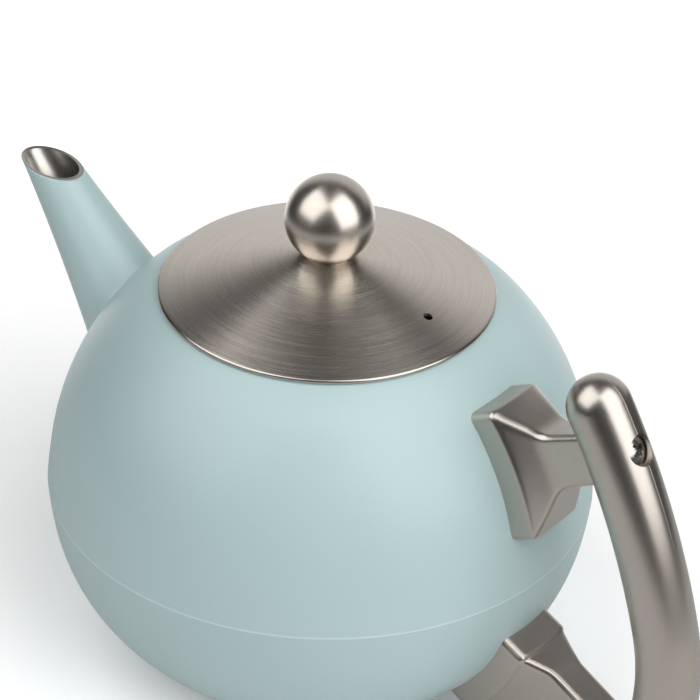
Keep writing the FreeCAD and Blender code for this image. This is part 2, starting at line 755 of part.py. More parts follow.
skirt = D.skirt_radius
skirt_in = skirt - D.skirt_wall
parts["lid_skirt"] = turned("lid_skirt", [
    (skirt_in, D.skirt_low),
    (D.skirt_bead, D.skirt_low),
    (D.skirt_bead, D.skirt_low + 1.0),
    (skirt, D.skirt_low + 1.0),
    (skirt, cone_under(skirt)),
    (skirt_in, cone_under(skirt_in)),
])
parts["lid_seal"] = turned("lid_seal", [
    (D.seal_bore, D.seal_low),
    (D.seal_radius - 0.15, D.seal_low),
    (D.seal_radius, D.seal_low + D.seal_height * 0.5),
    (D.seal_radius - 0.15, D.seal_low + D.seal_height),
    (D.seal_bore, D.seal_low + D.seal_height),
])

# ball knob, flattened where it stands on the lid, tapped from below
axis_up = Placement(Vector(0, 0, sheet.get("knob_height")), Rotation())
knob_ball = ball("knob_ball", D.knob_radius, axis_up)
knob_foot = cylinder("knob_foot", D.knob_radius * 2.0, Q("30", 30.0),
                     Placement(Vector(0, 0, sheet.get("lid_flat") - 30.0), Rotation()))
knob_flat = cut("knob_flat", knob_ball, knob_foot)
knob_tap = cylinder("knob_tap", D.thread_radius, D.knob_bite + 1.5,
                    Placement(Vector(0, 0, sheet.get("lid_flat") - 0.5), Rotation()))
parts["knob"] = cut("knob", knob_flat, knob_tap)

washer_top = sheet.get("lid_flat") - sheet.get("lid_wall")
parts["knob_washer"] = turned("knob_washer", [
    (D.clear_radius, flat_under - D.washer_thick),
    (D.washer_radius, flat_under - D.washer_thick),
    (D.washer_radius, flat_under),
    (D.clear_radius, flat_under),
])
knob_seat = washer_top - sheet.get("washer_thick")
knob_shank = sheet.get("lid_flat") - knob_seat + sheet.get("knob_bite")
parts["knob_screw"] = pan_screw("knob_screw", knob_shank, Placement(
    Vector(0, 0, knob_seat), Rotation(Vector(1, 0, 0), 180)))

# ------------------------------------------------------------ finish
for node, obj in parts.items():
    obj.Label = node
doc.recompute()

trouble = []
for obj in doc.Objects:
    if any(word in obj.State for word in ("Invalid", "Error")):
        trouble.append("%s: %s" % (obj.Name, obj.State))
    if obj.TypeId == "Sketcher::SketchObject":
        if obj.solve() != 0:
            trouble.append("%s does not solve" % obj.Name)
for node, obj in parts.items():
    shape = obj.Shape
    if shape.isNull() or not shape.isValid() or shape.Volume <= 0:
        trouble.append("%s has no valid shape" % node)
if trouble:
    raise RuntimeError("; ".join(trouble))

os.makedirs("parts", exist_ok=True)
for node, obj in sorted(parts.items()):
    shape = obj.Shape
    box = shape.BoundBox
    print("%-18s solids %d  volume %9.1f  x %7.2f %7.2f  y %7.2f %7.2f  z %7.2f %7.2f" % (
        node, len(shape.Solids), shape.Volume, box.XMin, box.XMax,
        box.YMin, box.YMax, box.ZMin, box.ZMax))
    shape.exportStep("parts/%s.step" % node)
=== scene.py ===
import bpy
import bmesh
import math
import numpy as np
from mathutils import Matrix, Vector


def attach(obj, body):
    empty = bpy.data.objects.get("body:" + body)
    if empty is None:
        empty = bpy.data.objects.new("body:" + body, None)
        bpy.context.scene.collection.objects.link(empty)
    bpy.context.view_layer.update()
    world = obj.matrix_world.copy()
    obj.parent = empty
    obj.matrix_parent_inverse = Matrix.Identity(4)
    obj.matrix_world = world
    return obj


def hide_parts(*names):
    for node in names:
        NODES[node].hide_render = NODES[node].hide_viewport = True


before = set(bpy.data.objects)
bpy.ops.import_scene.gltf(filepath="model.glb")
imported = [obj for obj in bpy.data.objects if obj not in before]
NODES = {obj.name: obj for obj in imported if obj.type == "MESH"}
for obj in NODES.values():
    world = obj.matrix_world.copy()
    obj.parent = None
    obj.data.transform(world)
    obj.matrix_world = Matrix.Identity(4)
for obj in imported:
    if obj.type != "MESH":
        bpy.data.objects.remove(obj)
WORLD_BACK, WORLD_BASE, WORLD_TOP = 0.66, 0.04, 0.04
LEFT_L, RIGHT_L = 1.45, 1.75
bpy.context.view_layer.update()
scene = bpy.context.scene
MM = 0.001

# ------------------------------------------------------------------ helpers


def collection_link(obj):
    scene.collection.objects.link(obj)
    return obj


def make_mesh(name, verts, faces, material, smooth=True, scale=MM):
    mesh = bpy.data.meshes.new(name)
    mesh.from_pydata((np.asarray(verts, float) * scale).tolist(), [], faces)
    mesh.validate()
    if smooth:
        mesh.polygons.foreach_set("use_smooth", [True] * len(mesh.polygons))
    mesh.update()
    obj = collection_link(bpy.data.objects.new(name, mesh))
    if material is not None:
        mesh.materials.append(material)
    return obj


def grid_faces(rows, cols, closed=True):
    """Quads between consecutive rings of cols points."""
    faces = []
    last = cols if closed else cols - 1
    for i in range(rows - 1):
        for j in range(last):
            k = (j + 1) % cols
            faces.append((i * cols + j, i * cols + k, (i + 1) * cols + k, (i + 1) * cols + j))
    return faces


def lathe(name, profile, segments, material, loop=False, sharp=None, flip=False):
    """A section of (radius, height) in mm turned round Z. Points at radius 0 become poles."""
    verts, rings = [], []
    angles = np.linspace(0, 2 * math.pi, segments, endpoint=False)
    ca, sa = np.cos(angles), np.sin(angles)
    for r, z in profile:
        if abs(r) < 1e-6:
            rings.append([len(verts)])
            verts.append((0.0, 0.0, z))
        else:
            start = len(verts)
            verts.extend(zip((r * ca).tolist(), (r * sa).tolist(), [z] * segments))
            rings.append(list(range(start, start + segments)))
    faces = []
    count = len(rings)
    for i in range(count if loop else count - 1):
        a, b = rings[i], rings[(i + 1) % count]
        if len(a) == 1 and len(b) == 1:
            continue
        for j in range(segments):
            k = (j + 1) % segments
            if len(a) == 1:
                f = (a[0], b[k], b[j])
            elif len(b) == 1:
                f = (a[j], a[k], b[0])
            else:
                f = (a[j], a[k], b[k], b[j])
            faces.append(f[::-1] if flip else f)
    obj = make_mesh(name, verts, faces, material)
    if sharp is not None:
        obj.data.set_sharp_from_angle(angle=math.radians(sharp))
    return obj


def arc(cx, cz, radius, a0, a1, count):
    t = np.radians(np.linspace(a0, a1, count))
    return list(zip((cx + radius * np.cos(t)).tolist(), (cz + radius * np.sin(t)).tolist()))


def cut_away(obj, tool):
    """Cuts tool out of obj with an exact boolean and applies it."""
    mod = obj.modifiers.new("cut", "BOOLEAN")
    mod.operation = "DIFFERENCE"
    mod.solver = "EXACT"
    mod.object = tool
    bpy.context.view_layer.update()
    dg = bpy.context.evaluated_depsgraph_get()
    mesh = bpy.data.meshes.new_from_object(obj.evaluated_get(dg))
    obj.modifiers.clear()
    old = obj.data
    obj.data = mesh
    mesh.name = old.name
    bpy.data.meshes.remove(old)
    bpy.data.objects.remove(tool, do_unlink=True)
    return obj


def set_normals(obj, rule):
    """Custom corner normals. rule(points, face normals) gives the smooth normal at each corner;
    a corner keeps its face's normal where the two differ by more than 35 degrees."""
    mesh = obj.data
    count = len(mesh.loops)
    vi = np.zeros(count, np.int32)
    mesh.loops.foreach_get("vertex_index", vi)
    co = np.zeros(len(mesh.vertices) * 3)
    mesh.vertices.foreach_get("co", co)
    co = co.reshape(-1, 3)[vi] / MM
    fn = np.zeros((len(mesh.polygons), 3))
    tmp = np.zeros(len(mesh.polygons) * 3)
    mesh.polygons.foreach_get("normal", tmp)
    fn = tmp.reshape(-1, 3)
    totals = np.zeros(len(mesh.polygons), np.int32)
    mesh.polygons.foreach_get("loop_total", totals)
    face_n = np.repeat(fn, totals, axis=0)
    smooth_n = rule(co, face_n)
    smooth_n = smooth_n / np.maximum(np.linalg.norm(smooth_n, axis=1), 1e-9)[:, None]
    agree = (smooth_n * face_n).sum(1) > math.cos(math.radians(35))
    out = np.where(agree[:, None], smooth_n, face_n)
    mesh.polygons.foreach_set("use_smooth", [True] * len(mesh.polygons))
    mesh.normals_split_custom_set(out.tolist())
    return obj


# ---------------------------------------------------------------- materials


def new_material(name):
    mat = bpy.data.materials.new(name)
    mat.use_nodes = True
    tree = mat.node_tree
    bsdf = tree.nodes["Principled BSDF"] if "Principled BSDF" in tree.nodes else None
    if bsdf is None:
        tree.nodes.clear()
        out = tree.nodes.new("ShaderNodeOutputMaterial")
        bsdf = tree.nodes.new("ShaderNodeBsdfPrincipled")
        tree.links.new(bsdf.outputs["BSDF"], out.inputs["Surface"])
    return mat, tree, bsdf


def node(tree, kind, **values):
    n = tree.nodes.new(kind)
    for key, value in values.items():
        if hasattr(n, key):
            setattr(n, key, value)
        else:
            n.inputs[key].default_value = value
    return n


def math_node(tree, op, a, b=None, c=None):
    n = tree.nodes.new("ShaderNodeMath")
    n.operation = op
    for i, v in enumerate((a, b, c)):
        if v is None:
            continue
        if isinstance(v, (int, float)):
            n.inputs[i].default_value = v
        else:
            tree.links.new(v, n.inputs[i])
    return n.outputs[0]


def coords(tree):
    tc = tree.nodes.new("ShaderNodeTexCoord")
    return tc.outputs["Object"]


def scaled(tree, vector, scale):
    m = tree.nodes.new("ShaderNodeMapping")
    m.inputs["Scale"].default_value = scale
    tree.links.new(vector, m.inputs["Vector"])
    return m.outputs[0]


def noise(tree, vector, scale, detail=2.0, rough=0.5):
    n = tree.nodes.new("ShaderNodeTexNoise")
    n.inputs["Scale"].default_value = scale
    n.inputs["Detail"].default_value = detail
    n.inputs["Roughness"].default_value = rough
    tree.links.new(vector, n.inputs["Vector"])
    return n.outputs["Fac"]


def spread(tree, value, low, high):
    m = tree.nodes.new("ShaderNodeMapRange")
    m.inputs["From Min"].default_value = 0.25
    m.inputs["From Max"].default_value = 0.75
    m.inputs["To Min"].default_value = low
    m.inputs["To Max"].default_value = high
    tree.links.new(value, m.inputs["Value"])
    return m.outputs[0]


def mix_color(tree, fac, a, b):
    m = tree.nodes.new("ShaderNodeMix")
    m.data_type = "RGBA"
    for sock, v in (("A", a), ("B", b)):
        target = [s for s in m.inputs if s.name == sock and s.type == "RGBA"][0]
        if isinstance(v, tuple):
            target.default_value = v + (1.0,)
        else:
            tree.links.new(v, target)
    tree.links.new(fac, m.inputs[0])
    return [s for s in m.outputs if s.type == "RGBA"][0]


def bump(tree, bsdf, height, strength, distance):
    b = tree.nodes.new("ShaderNodeBump")
    b.inputs["Strength"].default_value = strength
    b.inputs["Distance"].default_value = distance
    tree.links.new(height, b.inputs["Height"])
    tree.links.new(b.outputs["Normal"], bsdf.inputs["Normal"])


def ring_lines(tree, centre_z=None, pitch=9000.0):
    """Noise stretched round the Z axis: fine turning or brushing lines."""
    xyz = tree.nodes.new("ShaderNodeSeparateXYZ")
    tree.links.new(coords(tree), xyz.inputs[0])
    x, y, z = xyz.outputs
    r = math_node(tree, "SQRT", math_node(tree, "ADD", math_node(tree, "MULTIPLY", x, x),
                                          math_node(tree, "MULTIPLY", y, y)))
    turn = math_node(tree, "ARCTAN2", y, x)
    # the seam of the angle is hidden by using its sine and cosine
    c = math_node(tree, "MULTIPLY", math_node(tree, "COSINE", turn), 1.6)
    s = math_node(tree, "MULTIPLY", math_node(tree, "SINE", turn), 1.6)
    across = math_node(tree, "MULTIPLY", math_node(tree, "ADD", r, math_node(tree, "MULTIPLY", z, 1.0)),
                       pitch)
    out = tree.nodes.new("ShaderNodeCombineXYZ")
    tree.links.new(c, out.inputs[0])
    tree.links.new(s, out.inputs[1])
    tree.links.new(across, out.inputs[2])
    return out.outputs[0]


def paint_material(name, dark, light, roughness):
    mat, tree, bsdf = new_material(name)
    v = coords(tree)
    broad = noise(tree, v, 14.0, 2.0, 0.5)
    fine = noise(tree, v, 900.0, 3.0, 0.6)
    shade = math_node(tree, "ADD", math_node(tree, "MULTIPLY", broad, 0.75),
                      math_node(tree, "MULTIPLY", fine, 0.25))
    color = mix_color(tree, spread(tree, shade, 0.0, 1.0), dark, light)
    # a pale hairline is painted along the seam where the two skins meet: a painted highlight on the seam bead
    height = tree.nodes.new("ShaderNodeSeparateXYZ")
    tree.links.new(v, height.inputs[0])
    off = math_node(tree, "ABSOLUTE", math_node(tree, "SUBTRACT", height.outputs[2], 0.0535), 0.0)
    line = math_node(tree, "SUBTRACT", 1.0, math_node(tree, "DIVIDE", off, 0.00030))
    line = math_node(tree, "MULTIPLY", math_node(tree, "MAXIMUM", line, 0.0), 0.55)
    # painted highlight: pale mint mixed into the paint along the seam
    color = mix_color(tree, line, color, (0.68, 0.74, 0.74))
    tree.links.new(color, bsdf.inputs["Base Color"])
    tree.links.new(spread(tree, fine, roughness - 0.03, roughness + 0.04), bsdf.inputs["Roughness"])
    bsdf.inputs["Specular IOR Level"].default_value = 0.5
    bsdf.inputs["Coat Weight"].default_value = 0.0
    orange = noise(tree, v, 2600.0, 2.0, 0.5)
    bump(tree, bsdf, orange, 0.12, 0.00004)
    return mat


def turned_steel(name, dark, light, roughness, anisotropy, pitch=9000.0, line=0.10):
    """Steel brushed round the Z axis."""
    mat, tree, bsdf = new_material(name)
    lines = ring_lines(tree, pitch=pitch)
    fine = noise(tree, lines, 1.0, 3.0, 0.7)
    wide = noise(tree, scaled(tree, lines, (1.0, 1.0, 0.22)), 1.0, 2.0, 0.5)
    both = math_node(tree, "ADD", math_node(tree, "MULTIPLY", fine, 0.6),
                     math_node(tree, "MULTIPLY", wide, 0.4))
    color = mix_color(tree, spread(tree, both, 0.0, 1.0), dark, light)
    tree.links.new(color, bsdf.inputs["Base Color"])
    bsdf.inputs["Metallic"].default_value = 1.0
    tree.links.new(spread(tree, fine, roughness - line * 0.5, roughness + line * 0.5),
                   bsdf.inputs["Roughness"])
    bsdf.inputs["Anisotropic"].default_value = anisotropy
    bsdf.inputs["Anisotropic Rotation"].default_value = 0.25
    tangent = tree.nodes.new("ShaderNodeTangent")
    tangent.direction_type = "RADIAL"
    tangent.axis = "Z"
    tree.links.new(tangent.outputs[0], bsdf.inputs["Tangent"])
    bump(tree, bsdf, fine, 0.10, 0.00002)
    return mat


def satin_metal(name, dark, light, roughness, stretch=(900.0, 900.0, 60.0), line=0.06):
    """Satin plated metal with faint finishing lines along Z."""
    mat, tree, bsdf = new_material(name)
    v = coords(tree)
    fine = noise(tree, scaled(tree, v, stretch), 3.0, 4.0, 0.65)
    cloud = noise(tree, v, 60.0, 2.0, 0.5)
    both = math_node(tree, "ADD", math_node(tree, "MULTIPLY", fine, 0.6),
                     math_node(tree, "MULTIPLY", cloud, 0.4))
    color = mix_color(tree, spread(tree, both, 0.0, 1.0), dark, light)
    tree.links.new(color, bsdf.inputs["Base Color"])
    bsdf.inputs["Metallic"].default_value = 1.0
    tree.links.new(spread(tree, fine, roughness - line * 0.5, roughness + line * 0.5),
                   bsdf.inputs["Roughness"])
    bump(tree, bsdf, fine, 0.12, 0.00002)
    return mat


def soft_rubber(name, dark, light):
    mat, tree, bsdf = new_material(name)
    v = coords(tree)
    fine = noise(tree, v, 1500.0, 3.0, 0.6)
    tree.links.new(mix_color(tree, fine, dark, light), bsdf.inputs["Base Color"])
    tree.links.new(spread(tree, fine, 0.42, 0.55), bsdf.inputs["Roughness"])
    bsdf.inputs["Subsurface Weight"].default_value = 0.15
    bsdf.inputs["Subsurface Radius"].default_value = (0.002, 0.002, 0.002)
    bump(tree, bsdf, fine, 0.1, 0.00003)
    return mat


PAINT = paint_material("mint_satin_paint", (0.352, 0.462, 0.466), (0.370, 0.480, 0.484), 0.35)
LID_STEEL = turned_steel("brushed_lid_steel", (0.60, 0.545, 0.480), (0.80, 0.745, 0.675), 0.25, 0.80)
KNOB_STEEL = turned_steel("turned_knob_steel", (0.55, 0.495, 0.440), (0.66, 0.61, 0.55), 0.30, 0.40,
                          pitch=7000.0, line=0.05)
RIM_STEEL = turned_steel("polished_rim_steel", (0.50, 0.46, 0.41), (0.58, 0.54, 0.49), 0.24, 0.3,
                         line=0.03)
VESSEL_STEEL = turned_steel("vessel_steel", (0.55, 0.53, 0.51), (0.64, 0.62, 0.60), 0.30, 0.6)
NICKEL = satin_metal("satin_nickel", (0.53, 0.485, 0.435), (0.565, 0.520, 0.470), 0.30)
SCREW_STEEL = satin_metal("screw_steel", (0.42, 0.40, 0.38), (0.55, 0.53, 0.51), 0.24,
                          stretch=(400.0, 400.0, 400.0))
BORE_STEEL = satin_metal("bare_spout_steel", (0.56, 0.53, 0.49), (0.60, 0.57, 0.53), 0.34,
                         stretch=(500.0, 500.0, 120.0))
SILICONE = soft_rubber("clear_silicone", (0.62, 0.62, 0.60), (0.70, 0.70, 0.68))

# ------------------------------------------------------------- the outer skin
SEAM = 53.5
DOME = 72.0
SEGMENTS = 320


def ridge(s):
    """Soft swell of the skin at the seam, s mm above or below it."""
    return 0.33 * math.exp(-(s / 4.6) ** 2) + 0.11 * math.exp(-(s / 0.42) ** 2)


def dome_profile(steps):
    top = math.degrees(math.acos(54.0 / DOME))
    near = np.concatenate([np.linspace(0, 1.2, 10, endpoint=False),
                           np.linspace(1.2, 12, 34, endpoint=False),
                           np.linspace(12, top, steps)])
    pts = []
    for t in near:
        a = math.radians(t)
        s = DOME * math.sin(a)
        r = DOME + ridge(s)
        pts.append((r * math.cos(a), SEAM + r * math.sin(a) if t else SEAM))
    return pts


CROWN_X = 54.0 * (1 - 40.0 / DOME)
CROWN_Z = SEAM + math.sqrt(DOME ** 2 - 54.0 ** 2) * (1 - 40.0 / DOME)
edge_angle = math.degrees(math.acos((42.5 - CROWN_X) / 40.0))
start_angle = math.degrees(math.acos((54.0 - CROWN_X) / 40.0))
outer = dome_profile(80) + arc(CROWN_X, CROWN_Z, 40.0, start_angle, edge_angle, 26)[1:]
inner = arc(CROWN_X, CROWN_Z, 39.2, edge_angle, start_angle, 14) + \
    arc(0.0, SEAM, DOME - 0.8, math.degrees(math.acos(54.0 / DOME)), 0.0, 50)[1:]
inner[0] = (42.5, inner[0][1])
skin_upper = lathe("outer_skin_upper", outer + inner, SEGMENTS, PAINT, loop=True, sharp=40)

BOWL_X = DOME - 55.0
turn_x = BOWL_X + 55.0 * math.cos(math.radians(45))
turn_z = SEAM - 55.0 * math.sin(math.radians(45))
FLOOR_X = turn_x - 78.0 * math.cos(math.radians(45))
FLOOR_Z = turn_z + 78.0 * math.sin(math.radians(45))
low_angle = -math.degrees(math.asin((FLOOR_Z - 1.2) / 78.0))


def bowl_profile():
    near = np.concatenate([np.linspace(0, 1.5, 10, endpoint=False),
                           np.linspace(1.5, 14, 34, endpoint=False), np.linspace(14, 45, 40)])
    pts = []
    for t in near:
        a = math.radians(t)
        s = 55.0 * math.sin(a)
        r = 55.0 + ridge(s)
        pts.append((BOWL_X + r * math.cos(a), SEAM - r * math.sin(a)))
    return pts + arc(FLOOR_X, FLOOR_Z, 78.0, -45.0, low_angle, 24)[1:]


lower_out = bowl_profile()
lower_in = arc(FLOOR_X, FLOOR_Z, 77.2, low_angle, -45.0, 12) + arc(BOWL_X, SEAM, 54.2, -45.0, 0.0, 30)[1:]
skin_lower = lathe("outer_skin_lower", lower_out + lower_in, SEGMENTS, PAINT, loop=True, sharp=40,
                   flip=True)

# --------------------------------------------------------------------- spout
TILT = math.radians(41.16)
SPOUT_OUT = np.array([-math.sin(TILT), 0.0, math.cos(TILT)])
SPOUT_N = np.array([math.cos(TILT), 0.0, math.sin(TILT)])
YAX = np.array([0.0, 1.0, 0.0])
SPOUT_REF = np.array([-99.6, 0.0, 112.44])
MOUTH_C = np.array([-97.8, 0.0, 110.4])
MOUTH_N = np.array([math.sin(math.radians(4.7)), 0.0, math.cos(math.radians(4.7))])
CENTRE = np.array([0.0, 0.0, SEAM])


def spout_radius(u):
    return 6.325 + 0.1144 * u + 0.000788 * u * u


def spout_point(u, theta, inset=0.0):
    return SPOUT_REF - SPOUT_OUT * u + (spout_radius(u) - inset) * (
        SPOUT_N * math.cos(theta) + YAX * math.sin(theta))


def solve(fun, lo, hi):
    flo = fun(lo)
    for _ in range(50):
        mid = (lo + hi) / 2
        if (fun(mid) > 0) == (flo > 0):
            lo = mid
        else:
            hi = mid
    return (lo + hi) / 2


def on_skin(p, lift=0.0):
    """The point of the outer skin under p, seen from the dome's centre."""
    d = p - CENTRE
    d = d / np.linalg.norm(d)
    r = DOME
    for _ in range(3):
        z = r * d[2]
        r = DOME + ridge(z)
    return CENTRE + d * (r + lift)


COLS = 144
thetas = np.linspace(0, 2 * math.pi, COLS, endpoint=False)
rows = []
lip, wall, weld = 0.22, 0.85, 2.6
mouth_u, root_u = [], []
for t in thetas:
    mouth_u.append(solve(lambda u: float((spout_point(u, t) - MOUTH_C) @ MOUTH_N), -16.0, 16.0))
    root_u.append(solve(lambda u: float(np.linalg.norm(spout_point(u, t) - on_skin(CENTRE + (spout_point(u, t) - CENTRE)))
                                        * (1 if np.linalg.norm(spout_point(u, t) - CENTRE) >
                                           np.linalg.norm(on_skin(spout_point(u, t)) - CENTRE) else -1)),
                        20.0, 62.0))
bore_u = [solve(lambda u: float((spout_point(u, t, wall) - MOUTH_C) @ MOUTH_N), -16.0, 16.0) for t in thetas]
end_u = [solve(lambda u: float(np.linalg.norm(spout_point(u, t, wall) - CENTRE) - 65.6), 20.0, 64.0)
         for t in thetas]

outer_rows = []
# lip: from the inner edge of the mouth over a rounded edge to the outside
for k in range(7):
    a = math.pi / 2 * k / 6
    ring = []
    for t, um in zip(thetas, mouth_u):
        ring.append(spout_point(um + lip * (1 - math.sin(a)), t, lip * (1 - math.cos(a)))
                    if False else spout_point(um + lip * (1 - math.cos(math.pi / 2 - a)) * 1.0, t,
                                              lip * (1 - math.sin(a))))
    outer_rows.append(ring)
for k in range(1, 61):
    f = k / 60.0
    ring = []
    for t, um, ur in zip(thetas, mouth_u, root_u):
        lo_u, hi_u = um + lip, ur - weld
        ring.append(spout_point(lo_u + (hi_u - lo_u) * f, t))
    outer_rows.append(ring)
for k in range(1, 11):
    f = k / 10.0
    ring = []
    for t, ur in zip(thetas, root_u):
        p0 = spout_point(ur - weld, t)
        p1 = spout_point(ur, t)
        side = SPOUT_N * math.cos(t) + YAX * math.sin(t)
        normal = (p1 - CENTRE) / np.linalg.norm(p1 - CENTRE)
        along = side - normal * float(side @ normal)
        along = along / np.linalg.norm(along)
        p2 = on_skin(p1 + along * weld, 0.0)
        q = p0 * (1 - f) ** 2 + p1 * 2 * f * (1 - f) + p2 * f * f
        ring.append(q)
    outer_rows.append(ring)
ring = []
for q in outer_rows[-1]:
    d = (q - CENTRE) / np.linalg.norm(q - CENTRE)
    ring.append(q - d * 0.5)
outer_rows.append(ring)
verts = [p for ring in outer_rows for p in ring]
spout_skin = make_mesh("spout_skin", verts, [f[::-1] for f in grid_faces(len(outer_rows), COLS)], PAINT)

bore_rows = []
flat = []
for k in range(3):
    f = k / 2.0
    ring = []
    for t, um, ub in zip(thetas, mouth_u, bore_u):
        a = spout_point(um, t, lip)
        b = spout_point(ub + 0.12, t, wall)
        ring.append(a * (1 - f) + b * f)
    flat.append(ring)
bore_rows = flat[:]
for k in range(1, 71):
    f = k / 70.0
    ring = []
    for t, ub, ue in zip(thetas, bore_u, end_u):
        lo_u = ub + 0.12
        ring.append(spout_point(lo_u + (ue - lo_u) * f, t, wall))
    bore_rows.append(ring)
verts = [p for ring in bore_rows for p in ring]
spout_bore = make_mesh("spout_bore", verts, grid_faces(len(bore_rows), COLS), BORE_STEEL)
spout_bore.data.set_sharp_from_angle(angle=math.radians(40))

# the skin is open where the spout leaves it
mesh = skin_upper.data
bm = bmesh.new()
bm.from_mesh(mesh)
gone = []
for f in bm.faces:
    inside = True
    for v in f.verts:
        d = np.array(v.co) / MM - SPOUT_REF
        u = -float(d @ SPOUT_OUT)
        side = d + SPOUT_OUT * u
        if u < 20 or np.linalg.norm(side) > spout_radius(u) - 0.1:
            inside = False
            break
    if inside:
        gone.append(f)
bmesh.ops.delete(bm, geom=gone, context="FACES")
bm.to_mesh(mesh)
bm.free()
mesh.update()

# ----------------------------------------------------------------------- lid
lid_low, shoulder = 109.88, (43.12, 111.07)
slope = (122.13 - 111.05) / (43.2 - 6.5)
cone = math.atan(slope)
lip_c = (42.98, 110.58)
lip_r = 0.66
lid_out = arc(lip_c[0], lip_c[1], lip_r, -100.0, 90.0 - math.degrees(cone), 22)
cone_start = lid_out[-1]
lid_flat_r = 6.7
cone_pts = []
for k in range(1, 61):
    f = k / 60.0
    r = cone_start[0] + (lid_flat_r - cone_start[0]) * f
    cone_pts.append((r, cone_start[1] + slope * (cone_start[0] - r)))
top_z = min(cone_pts[-1][1], 122.13)
lid_profile = lid_out + cone_pts + [(6.3, cone_pts[-1][1] + 0.02), (2.3, cone_pts[-1][1] + 0.02),
                                    (2.3, cone_pts[-1][1] - 0.8), (6.0, cone_pts[-1][1] - 0.82)]
under = []
for k in range(0, 31):
    f = k / 30.0
    r = 6.6 + (42.1 - 6.6) * f
    under.append((r, cone_start[1] + slope * (cone_start[0] - r) - 0.84))
lid_profile = lid_profile + under
lid = lathe("lid_cone", lid_profile, 360, LID_STEEL, loop=True)
vent_dir = math.radians(2.8)
vent_at = np.array([31.4 * math.cos(vent_dir), 31.4 * math.sin(vent_dir)])


def tube_tool(name, base, axis, radius, low, high, segments=48):
    """A closed cylinder along axis, used for cutting."""
    axis = np.asarray(axis, float)
    axis = axis / np.linalg.norm(axis)
    ref = np.array([0.0, 1.0, 0.0]) if abs(axis[1]) < 0.9 else np.array([1.0, 0.0, 0.0])
    e1 = np.cross(ref, axis)
    e1 = e1 / np.linalg.norm(e1)
    e2 = np.cross(axis, e1)
    vs, fs = [], []
    for h in (low, high):
        for k in range(segments):
            a = 2 * math.pi * k / segments
            vs.append(np.asarray(base) + axis * h + radius * (e1 * math.cos(a) + e2 * math.sin(a)))
    for k in range(segments):
        j = (k + 1) % segments
        fs.append((k, j, segments + j, segments + k))
    fs.append(tuple(range(segments))[::-1])
    fs.append(tuple(range(segments, 2 * segments)))
    return make_mesh(name, vs, fs, None)


lid_points = np.array(lid_profile)


def lathe_rule(profile, flip=False):
    """Analytic normals of a turned section."""
    pts = np.array(profile, float)
    nxt = np.roll(pts, -1, axis=0)
    d = nxt - pts
    seg_n = np.stack([d[:, 1], -d[:, 0]], 1)
    seg_n = seg_n / np.maximum(np.linalg.norm(seg_n, axis=1), 1e-9)[:, None]
    area = 0.5 * np.sum(pts[:, 0] * nxt[:, 1] - nxt[:, 0] * pts[:, 1])
    if area < 0:
        seg_n = -seg_n
    vert_n = seg_n + np.roll(seg_n, 1, axis=0)
    cos = (seg_n * np.roll(seg_n, 1, axis=0)).sum(1)
    vert_n = vert_n / np.maximum(np.linalg.norm(vert_n, axis=1), 1e-9)[:, None]
    soft = cos > math.cos(math.radians(35))
    length = np.maximum((d ** 2).sum(1), 1e-12)

    def rule(co, face_n):
        r = np.hypot(co[:, 0], co[:, 1])
        q = np.stack([r, co[:, 2]], 1)
        fn2 = np.stack([(face_n[:, 0] * co[:, 0] + face_n[:, 1] * co[:, 1]) / np.maximum(r, 1e-9),
                        face_n[:, 2]], 1)
        out2 = np.zeros((len(co), 2))
        step = 4000
        for a in range(0, len(co), step):
            qq = q[a:a + step]
            rel = qq[:, None, :] - pts[None]
            t = np.clip((rel * d[None]).sum(2) / length[None], 0, 1)
            near = pts[None] + t[..., None] * d[None]
            dist = ((qq[:, None, :] - near) ** 2).sum(2)
            facing = (fn2[a:a + step][:, None, :] * seg_n[None]).sum(2)
            dist = dist + np.where(facing < 0.7, 100.0, 0.0)
            best = dist.argmin(1)
            tt = t[np.arange(len(qq)), best]
            n0 = np.where(soft[best][:, None], vert_n[best], seg_n[best])
            nb = (best + 1) % len(pts)
            n1 = np.where(soft[nb][:, None], vert_n[nb], seg_n[best])
            out2[a:a + step] = n0 * (1 - tt)[:, None] + n1 * tt[:, None]
        rr = np.maximum(r, 1e-9)
        return np.stack([out2[:, 0] * co[:, 0] / rr, out2[:, 0] * co[:, 1] / rr, out2[:, 1]], 1)

    return rule


bpy.context.view_layer.update()
cut_away(lid, tube_tool("vent_tool", (vent_at[0], vent_at[1], 112.0), (0, 0, 1), 1.2, -6.0, 8.0, 40))
set_normals(lid, lathe_rule(lid_profile))
lid.data.materials.append(RIM_STEEL)
for poly in lid.data.polygons:
    c = poly.center
    r = math.hypot(c[0], c[1]) / MM
    if r > cone_start[0] - 0.12:
        poly.material_index = 1

# ---------------------------------------------------------------------- knob
KR = 11.56
knob_c = 131.6
foot = 122.16
foot_a = -math.degrees(math.asin((knob_c - foot) / KR))
knob_profile = [(0.0, foot)] + [(KR * math.cos(math.radians(foot_a)) * f, foot) for f in (0.35, 0.7, 0.95)]
knob_profile += arc(0.0, knob_c, KR, foot_a + 0.8, 89.0, 96) + [(0.0, knob_c + KR)]
knob = lathe("ball_knob", knob_profile, 192, KNOB_STEEL, sharp=40)

# -------------------------------------------------------------------- handle
BAR = 8.245
BOW_C = np.array([-84.4, 0.0, 2.5])
BOW_R, BOW_TOP, BOW_JOIN = 202.5, 33.0, 15.7
TURN_R, TURN_END = 66.34, -25.5


def polar(c, r, deg):
    a = math.radians(deg)
    return c + np.array([r * math.cos(a), 0.0, r * math.sin(a)])


